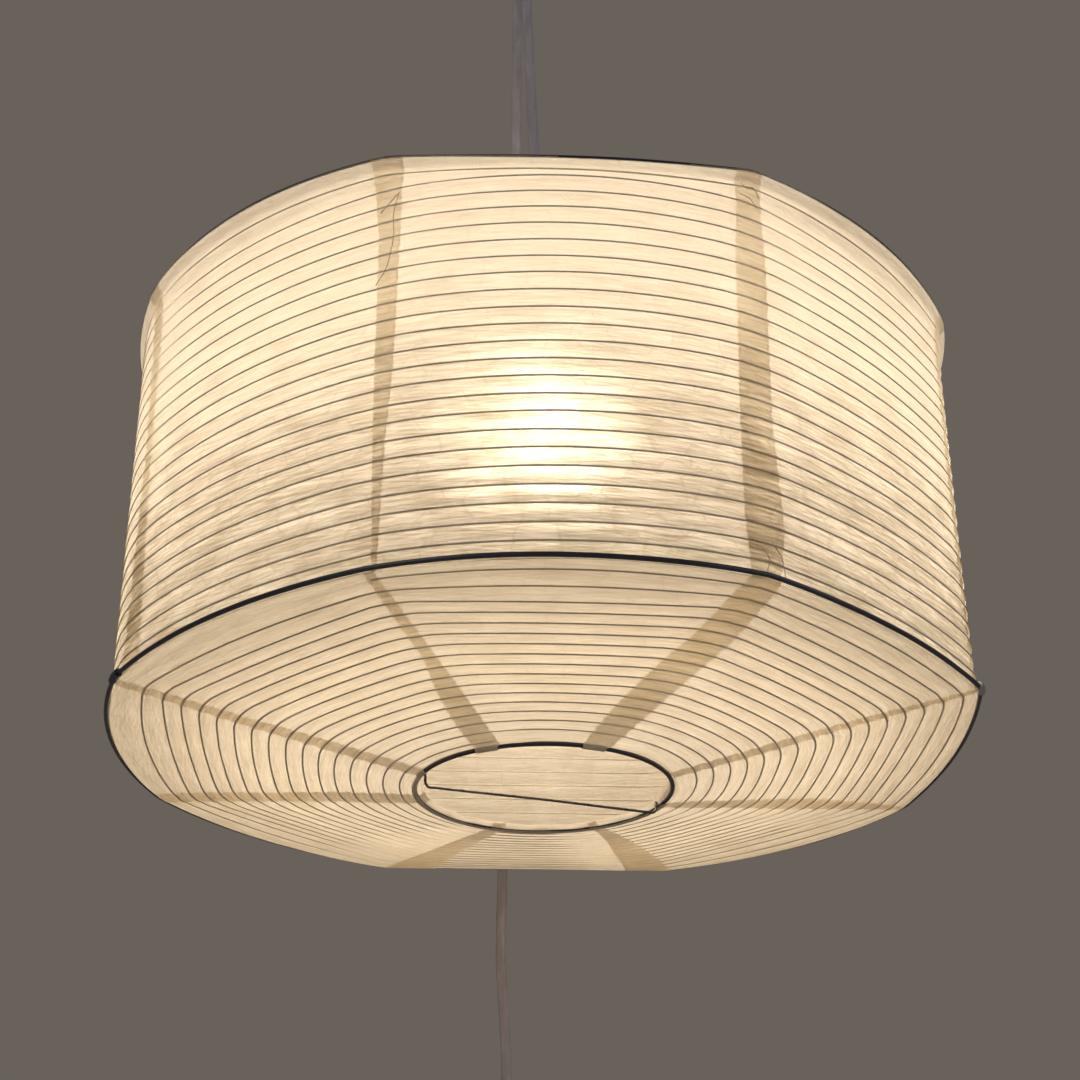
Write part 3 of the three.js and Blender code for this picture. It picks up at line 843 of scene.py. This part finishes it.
def turnPiece(name, profile, steps=64, centre=None, closed=False):
    # a profile of (radius, height) in millimetres spun about the upright axis through centre
    centre = shade["axis"] if centre is None else centre
    deselect()
    bpy.ops.mesh.primitive_circle_add(vertices=len(profile), radius=0.01, fill_type="NOTHING")
    piece = bpy.context.object
    piece.name = name
    for vertex, (radius, z) in zip(piece.data.vertices, profile):
        vertex.co = (centre.x + radius * 0.001, centre.y, z * 0.001)
    bpy.ops.object.mode_set(mode="EDIT")
    bpy.ops.mesh.select_all(action="SELECT")
    bpy.ops.mesh.spin(
        steps=steps, angle=2 * math.pi, center=(centre.x, centre.y, 0), axis=(0, 0, 1), use_auto_merge=True
    )
    bpy.ops.mesh.select_all(action="SELECT")
    bpy.ops.mesh.remove_doubles(threshold=0.00001)
    bpy.ops.mesh.dissolve_degenerate(threshold=0.00001)
    if not closed:
        bpy.ops.mesh.delete_loose()
    bpy.ops.mesh.select_all(action="SELECT")
    bpy.ops.mesh.normals_make_consistent(inside=False)
    bpy.ops.object.mode_set(mode="OBJECT")
    bpy.ops.object.shade_smooth_by_angle(angle=math.radians(35))
    return piece


def modify(piece, kind, **settings):
    deselect()
    piece.select_set(True)
    bpy.context.view_layer.objects.active = piece
    change = piece.modifiers.new(kind, kind)
    for key, value in settings.items():
        setattr(change, key, value)
    bpy.ops.object.modifier_apply(modifier=change.name)


def roundEdges(piece, width, segments=3):
    modify(piece, "BEVEL", width=width, segments=segments, limit_method="ANGLE", angle_limit=math.radians(40))
    bpy.ops.object.shade_smooth_by_angle(angle=math.radians(35))


spreader = {
    "wire": 0.0014,
    # from one hooked end to the other, in millimetres from the axis and the opening's plane
    "line": [
        (-63, -24.3, 2.2),
        (-61, -23.3, 2.1),
        (-59.6, -22.4, 0.6),
        (-59.3, -21.9, -3.2),
        (-58.2, -21, -5.4),
        (-54, -19.6, -5.6),
        (0.4, 0.5, -5.2),
        (53, 19.5, -5.6),
        (56.6, 20.9, -5.5),
        (58.2, 21.9, -4.2),
        (58.6, 23.2, 0),
        (59.2, 24.6, 2.1),
        (61, 26, 2.2),
    ],
}


def addSpreader():
    # it rests in the bottom opening, and its ends hook over the opening's wire
    points = []
    for x, y, z in spreader["line"]:
        points.append(Vector((x, y, z + (shade["bottom"] - shade["rise"]) * 1000)) + shade["axis"] * 1000)
    line = smoothLine(points, 1.2)
    wire = bendWire("spreaderWire", [p * 0.001 for p in line], spreader["wire"], False, 10)
    fit(wire, "lower_face", darkSteel, "spreader_wire", slot="steel")


carrier = {"ring": 0.027, "hole": 0.0199, "arm": 0.009, "reach": 0.0672, "thick": 0.0015, "top": -0.3445}


def addCarrier():
    # a ring with two arms, cut from one flat strip of steel
    deselect()
    bpy.ops.mesh.primitive_circle_add(vertices=96, radius=carrier["hole"], fill_type="NOTHING")
    plate = bpy.context.object
    plate.name = "spreaderCarrier"
    bpy.ops.object.mode_set(mode="EDIT")
    bpy.ops.mesh.select_all(action="SELECT")
    bpy.ops.mesh.extrude_region_move()
    bpy.ops.transform.resize(value=[carrier["ring"] / carrier["hole"]] * 2 + [1])
    bpy.ops.object.mode_set(mode="OBJECT")
    # the outer edge's two short stretches that face along X are drawn out into the arms
    half = carrier["arm"] / 2
    bpy.ops.object.mode_set(mode="EDIT")
    bpy.ops.mesh.select_mode(type="EDGE")
    for way in (1, -1):
        bpy.ops.mesh.select_all(action="DESELECT")
        bpy.ops.object.mode_set(mode="OBJECT")
        for edge in plate.data.edges:
            ends = [plate.data.vertices[v].co for v in edge.vertices]
            rim = all(abs(p.xy.length - carrier["ring"]) < 0.0002 for p in ends)
            edge.select = rim and all(p.x * way > 0 and abs(p.y) < half + 0.0003 for p in ends)
        bpy.ops.object.mode_set(mode="EDIT")
        bpy.ops.mesh.extrude_edges_move()
        bpy.ops.object.mode_set(mode="OBJECT")
        for vertex in plate.data.vertices:
            if vertex.select:
                vertex.co.x = way * carrier["reach"]
        bpy.ops.object.mode_set(mode="EDIT")
    bpy.ops.mesh.select_mode(type="VERT")
    bpy.ops.mesh.select_all(action="SELECT")
    bpy.ops.mesh.extrude_region_move(TRANSFORM_OT_translate={"value": (0, 0, -carrier["thick"])})
    bpy.ops.mesh.select_all(action="SELECT")
    bpy.ops.mesh.normals_make_consistent(inside=False)
    bpy.ops.object.mode_set(mode="OBJECT")
    plate.rotation_euler.z = math.radians(20)
    plate.location = (shade["axis"].x, shade["axis"].y, carrier["top"])
    settle(plate)
    roundEdges(plate, 0.0003, 2)
    fit(plate, "hanging_frame", zincSteel, "spreader_carrier", slot="steel")


holder = {
    "sleeve": 19.5,
    "bore": 14.6,
    "body": 23,
    "sleeveBottom": -378,
    "shoulder": -344.2,
    "bodyTop": -322.2,
    "capTop": -299.9,
    "gripTop": -287.9,
    "thread": 2.4,
}


def addHolder():
    h = holder
    sleeve = [(h["bore"], h["sleeveBottom"]), (h["sleeve"] - 0.6, h["sleeveBottom"])]
    count = int((h["shoulder"] - h["sleeveBottom"] - 2) / h["thread"])
    for k in range(count):
        z = h["sleeveBottom"] + 1 + k * h["thread"]
        sleeve += [(h["sleeve"] - 0.5, z), (h["sleeve"], z + 0.7)]
        sleeve += [(h["sleeve"], z + 1.3), (h["sleeve"] - 0.5, z + 2)]
    z = h["shoulder"]
    sleeve += [(h["sleeve"] - 0.5, z), (h["body"] - 0.8, z), (h["body"], z + 0.8)]
    sleeve += [(h["body"], z + 8), (h["body"] - 0.5, z + 8.5)]
    sleeve += [(h["body"] - 0.5, z + 9.3), (h["body"], z + 9.8)]
    sleeve += [(h["body"], h["bodyTop"] - 0.6), (h["body"] - 0.6, h["bodyTop"]), (0, h["bodyTop"])]
    sleeve += [(0, z - 0.3), (h["bore"], z - 0.3)]
    body = turnPiece("lampholderBody", sleeve, 72)
    fit(body, "hanging_frame", holderPlastic, "lampholder_body", slot="holder_plastic")
    low = h["bodyTop"] + 0.3
    cap = [(0, low), (h["body"] - 0.4, low), (h["body"], low + 0.4), (h["body"], low + 5)]
    for k in range(1, 13):
        a = k * math.pi / 24
        cap.append((9.2 + (h["body"] - 9.2) * math.cos(a), low + 5 + 17 * math.sin(a)))
    cap += [(0, low + 22)]
    top = turnPiece("lampholderCap", cap, 72)
    # shallow grips round the cap's foot
    for vertex in top.data.vertices:
        d = (vertex.co - shade["axis"]).xy
        if d.length > 0.0222 and vertex.co.z * 1000 > low + 0.2:
            a = math.atan2(d.y, d.x)
            d = d * (1 - 0.012 * max(0, math.sin(24 * a)))
            vertex.co.x, vertex.co.y = shade["axis"].x + d.x, shade["axis"].y + d.y
    fit(top, "hanging_frame", holderPlastic, "lampholder_cap", slot="holder_plastic")
    low = h["capTop"] + 0.3
    grip = [(0, low), (6.6, low), (7, low + 0.5), (7, low + 2.6), (6.4, low + 3)]
    for k in range(3):
        z = low + 3.2 + k * 2.4
        grip += [(6.3 - k * 0.35, z), (6.3 - k * 0.35, z + 1.2)]
        grip += [(5.7 - k * 0.35, z + 1.6), (5.7 - k * 0.35, z + 2.2)]
    grip += [(4.8, h["gripTop"] - 0.6), (4.2, h["gripTop"]), (0, h["gripTop"])]
    piece = turnPiece("cordGrip", grip, 40)
    fit(piece, "hanging_frame", holderPlastic, "cord_grip", slot="holder_plastic")
    return piece


ringNut = {"top": -346.4, "low": -354.2, "inside": 19.9, "outside": 27}


def addNut():
    top, low, inside, outside = (ringNut[k] for k in ("top", "low", "inside", "outside"))
    profile = [(inside, low + 0.4), (inside + 0.4, low), (outside - 3.6, low), (outside - 3, low + 0.6)]
    profile += [(outside - 2.6, low + 4.6), (outside - 0.4, low + 5.4)]
    profile += [(outside, low + 5.9), (outside, top - 0.4)]
    profile += [(outside - 0.4, top), (inside + 0.4, top), (inside, top - 0.4)]
    nut = turnPiece("shadeRingNut", profile, 144, closed=True)
    for vertex in nut.data.vertices:
        d = (vertex.co - shade["axis"]).xy
        if d.length > 0.0232 and vertex.co.z * 1000 < low + 5:
            a = math.atan2(d.y, d.x)
            d = d * (1 - 0.03 * max(0, math.sin(36 * a)))
            vertex.co.x, vertex.co.y = shade["axis"].x + d.x, shade["axis"].y + d.y
    fit(nut, "ring_nut", holderPlastic, "shade_ring_nut", slot="holder_plastic")


bulb = {"radius": 30, "globe": -430.6, "neckTop": -378.7, "neck": 13, "capRadius": 12.9, "capTop": -354.3}


def addBulb():
    b = bulb
    profile = [(0, b["globe"] - b["radius"])]
    for k in range(1, 29):
        a = -math.pi / 2 + k * math.pi * 0.72 / 28
        profile.append((b["radius"] * math.cos(a), b["globe"] + b["radius"] * math.sin(a)))
    start, stop = Vector(profile[-1]), Vector((b["neck"], b["neckTop"]))
    for k in range(1, 9):
        t = k / 8
        profile.append((mix(start.x, stop.x, 1 - (1 - t) ** 2), mix(start.y, stop.y, t)))
    profile.append((0, b["neckTop"]))
    glass = turnPiece("bulbGlass", profile, 80)
    glass.visible_shadow = False
    fit(glass, "bulb", opalGlass, "bulb_glass", slot="opal_glass")
    low, r = b["neckTop"] + 0.4, b["capRadius"]
    cap = [(0, low), (r, low), (r, low + 2)]
    for k in range(5):
        z = low + 2.2 + k * 3
        cap += [(r - 0.9, z + 0.4), (r - 0.9, z + 1), (r - 0.1, z + 1.7), (r - 0.1, z + 2.4)]
    cap += [(r - 1, low + 18), (r - 3, low + 20), (r - 5.4, low + 21.4)]
    cap += [(3, low + 22), (2.4, low + 23.6), (0, b["capTop"])]
    metal = turnPiece("bulbCap", cap, 64)
    fit(metal, "bulb", capMetal, "bulb_cap", slot="brass")


hook = {
    "wire": 0.004,
    "radius": 14,
    "cord": -44.5,  # height of the cord's middle where it crosses
    "clear": 0.3,
    "plate": 14,
    "thick": 3,
}


def addHook():
    seat = hook["cord"] - cordShape["thin"] * 500 - hook["clear"]
    centre = seat - hook["wire"] * 500 + hook["radius"]

    def at(degrees):
        a = math.radians(degrees)
        return Vector((hook["radius"] * math.cos(a), 0, centre + hook["radius"] * math.sin(a)))

    route = [Vector((0, 0, -hook["thick"] - hook["clear"])), Vector((0, 0, centre + hook["radius"] + 3))]
    route += [at(a) for a in (116, 145, 180, 215, 242, 270, 298, 325, 360, 387)]
    line = smoothLine(route, 1)
    wire = bendWire("ceilingHook", [p * 0.001 for p in line], hook["wire"], False, 14)
    roundEdges(wire, 0.0006, 2)
    fit(wire, "hanging_frame", zincSteel, "ceiling_hook", slot="steel")
    r, t = hook["plate"], hook["thick"]
    profile = [(0, 0), (r - 0.3, 0), (r, -0.3), (r, -t + 1.2), (r - 1.2, -t + 0.2), (r - 3, -t), (4.6, -t)]
    profile += [(4.4, -t + 0.4), (3.4, -t + 0.4), (3.2, -t), (0, -t)]
    plate = turnPiece("hookPlate", profile, 64, Vector((0, 0, 0)))
    fit(plate, "hanging_frame", zincSteel, "hook_plate", slot="steel")


plug = {
    "place": (6.9, 263.7),
    "top": -789.7,
    "long": 28,
    "wide": 26,
    "deep": 16,
    "blade": (1.5, 6.4, 16),
    "apart": 12.7,
}


def addPlug():
    x, y = plug["place"]
    deselect()
    bpy.ops.mesh.primitive_cube_add(size=1)
    body = bpy.context.object
    body.name = "plugBody"
    body.dimensions = (plug["wide"] * 0.001, plug["deep"] * 0.001, (plug["long"] - 6) * 0.001)
    body.location = (x * 0.001, y * 0.001, (plug["top"] - plug["long"] + (plug["long"] - 6) / 2) * 0.001)
    settle(body)
    # the top is drawn in and up to the collar that grips the lead
    bpy.ops.object.mode_set(mode="EDIT")
    bpy.ops.mesh.select_mode(type="FACE")
    centre = (x * 0.001, y * 0.001, plug["top"] * 0.001)
    for value, rise in ((0.78, 2.2), (0.62, 1.6), (1, 2.2)):
        bpy.ops.mesh.select_all(action="DESELECT")
        bpy.ops.object.mode_set(mode="OBJECT")
        highest = max(face.center.z for face in body.data.polygons)
        for face in body.data.polygons:
            face.select = face.normal.z > 0.9 and face.center.z > highest - 0.00001
        bpy.ops.object.mode_set(mode="EDIT")
        bpy.ops.mesh.extrude_region_move(TRANSFORM_OT_translate={"value": (0, 0, rise * 0.001)})
        bpy.ops.transform.resize(value=(value, value, 1), center_override=centre)
    bpy.ops.object.mode_set(mode="OBJECT")
    roundEdges(body, 0.0022, 4)
    # finger ridges on the two broad sides
    ridges = []
    for k in range(5):
        for way in (-1, 1):
            z = plug["top"] - plug["long"] + 7 + k * 2.6
            place = Vector((x, y + way * plug["deep"] / 2, z)) * 0.001
            span = 0.0065 - 0.0004 * abs(k - 2)
            ends = [place + Vector((u * span, 0, 0)) for u in (-1, -0.5, 0, 0.5, 1)]
            ridges.append(bendWire("plugRidge", ends, 0.0011, False, 8))
    deselect()
    for piece in ridges + [body]:
        piece.select_set(True)
    bpy.context.view_layer.objects.active = body
    bpy.ops.object.join()
    fit(body, "hanging_frame", plugPvc, "plug_body", slot="cord_plastic")
    made = [body]
    thick, wide, long = (v * 0.001 for v in plug["blade"])
    for k, way in ((1, -1), (2, 1)):
        deselect()
        bpy.ops.mesh.primitive_cube_add(size=1)
        blade = bpy.context.object
        blade.name = "plugBlade" + str(k)
        blade.dimensions = (thick, wide, long)
        z = plug["top"] - plug["long"] - 0.3
        blade.location = ((x + way * plug["apart"] / 2) * 0.001, y * 0.001, z * 0.001 - long / 2)
        settle(blade)
        for vertex in blade.data.vertices:  # the tip is drawn in
            if vertex.co.z < z * 0.001 - long / 2:
                vertex.co.y = mix(y * 0.001, vertex.co.y, 0.8)
        roundEdges(blade, 0.0004, 3)
        fit(blade, "hanging_frame", nickelBrass, "plug_blade_" + str(k), slot="brass")
        made.append(blade)
    return made


tie = {"wire": 0.0024, "halfWide": 12.6, "halfThick": 5.1, "radius": 34, "turn": 200}


def addTie():
    middle = Vector(cordShape["coil"])
    out, up = tie["halfWide"] + 1.8, tie["halfThick"] + 1.8
    points = []
    corner = 2
    for k, (sx, sy) in enumerate(((1, 1), (-1, 1), (-1, -1), (1, -1))):
        for s in range(6):
            a = math.pi / 2 * (k + s / 5)
            x, r = sx * (out - corner) + corner * math.cos(a), sy * (up - corner) + corner * math.sin(a)
            points.append((x, r))
    turn = math.radians(tie["turn"])
    ring = []
    for x, r in points:
        reachOut = tie["radius"] + r
        place = middle + Vector((x, -math.sin(turn) * reachOut, math.cos(turn) * reachOut))
        ring.append(place * 0.001)
    band = bendWire("coilTie", ring, tie["wire"], True, 12)
    fit(band, "hanging_frame", tieVinyl, "coil_tie", slot="tie_plastic")
    return band


addSpreader()
addCarrier()
gripPiece = addHolder()
addNut()
addBulb()
addHook()
plugPieces = addPlug()
tiePiece = addTie()
print("fittings made")

details = {
    "sleeve": 0.0042,  # crimp over the rim wire's joint
    "sleeves": [("left", 7.0, 0.03, blackLacquer, "black_wire"), ("right", 2.0, 0.026, zincSteel, "steel")],
}


def addDetails():
    for name, side, half, material, slot in details["sleeves"]:
        points = []
        for s in range(9):
            at = side + half * (s / 4 - 1)
            points.append(wallPoint(at, 0, shade["corner"] + 0.0002, shade["bottom"] + 0.0017, 0.012))
        sleeve = bendWire("rimSleeve" + name.title(), points, details["sleeve"], False, 12)
        fit(sleeve, "lower_face", material, slot=slot)


addDetails()

# small pleats where the wall's paper was gathered at a seam: (side, share of the height)
pleats = {
    "thick": 0.0004,
    "lines": [
        [(0.035, 0.905), (0.012, 0.885), (-0.017, 0.86)],
        [
            (0.035, 0.905), (0.024, 0.87), (0.021, 0.84), (0.025, 0.8),
            (0.02, 0.76), (0.006, 0.71), (-0.02, 0.677),
        ],
        [(0.975, 0.97), (0.99, 0.955), (1.01, 0.962), (1.03, 0.94)],
        [(0.97, 0.935), (1.0, 0.93), (1.02, 0.91)],
        [(1.02, 0.09), (1.05, 0.06), (1.06, 0.02)],
        [(0.985, 0.075), (1.01, 0.05), (1.0, 0.02)],
    ],
}


def addPleats():
    for number, line in enumerate(pleats["lines"]):
        points = []
        for side, share in line:
            z = mix(shade["bottom"], shade["top"], share)
            points.append(wallPoint(side, share, shade["paper"] + 0.0003, z) * 1000)
        bent = [p * 0.001 for p in smoothLine(points, 1)]
        pleat = bendWire("paperPleat" + str(number + 1), bent, pleats["thick"], False, 6)
        fit(pleat, "hanging_frame", wallPaper, slot="paper")
        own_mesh(pleat)


addPleats()

room = {
    "floor": -0.98,
    "world": "#6e6760",
    "worldStrength": 0.9,
    "key": {"place": (-1.6, -2.2, 0.6), "size": 1.8, "power": 18, "colour": "#fff6ec"},
    "fill": {"place": (2.2, -1.2, -0.2), "size": 2.2, "power": 12, "colour": "#e9f0ff"},
    "lamp": {"power": 1.65, "radius": 0.028, "colour": "#fff2e0"},
}


def addRoom():
    deselect()
    bpy.ops.mesh.primitive_plane_add(size=12, location=(0, 0, room["floor"]))
    floor = bpy.context.object
    floor.name = "studioFloor"
    settle(floor)
    floor.data.materials.append(surface("paleFloorPaint", ("#cfcac2", "#d8d3cb"), (0.7, 0.85), 0.05, 0.0001))
    world = bpy.data.worlds.new("studio")
    bpy.context.scene.world = world
    world.use_nodes = True
    sky = world.node_tree.nodes["Background"]
    sky.inputs["Color"].default_value = linear(room["world"])
    sky.inputs["Strength"].default_value = room["worldStrength"]
    middle = shade["axis"] + Vector((0, 0, -0.47))
    for name in ("key", "fill"):
        spec = room[name]
        bpy.ops.object.light_add(type="AREA", location=spec["place"])
        light = bpy.context.object
        light.name = name + "Light"
        light.data.size = spec["size"]
        light.data.energy = spec["power"]
        light.data.color = linear(spec["colour"])[:3]
        aim = middle - Vector(spec["place"])
        light.rotation_euler = aim.to_track_quat("-Z", "Y").to_euler()
    spec = room["lamp"]
    place = (shade["axis"].x, shade["axis"].y, bulb["globe"] * 0.001)
    bpy.ops.object.light_add(type="POINT", location=place)
    lamp = bpy.context.object
    lamp.name = "bulbLight"
    lamp.data.energy = spec["power"]
    lamp.data.shadow_soft_size = spec["radius"]
    lamp.data.color = linear(spec["colour"])[:3]
    bpy.context.scene.view_settings.view_transform = "Standard"


addRoom()
print("room lit")
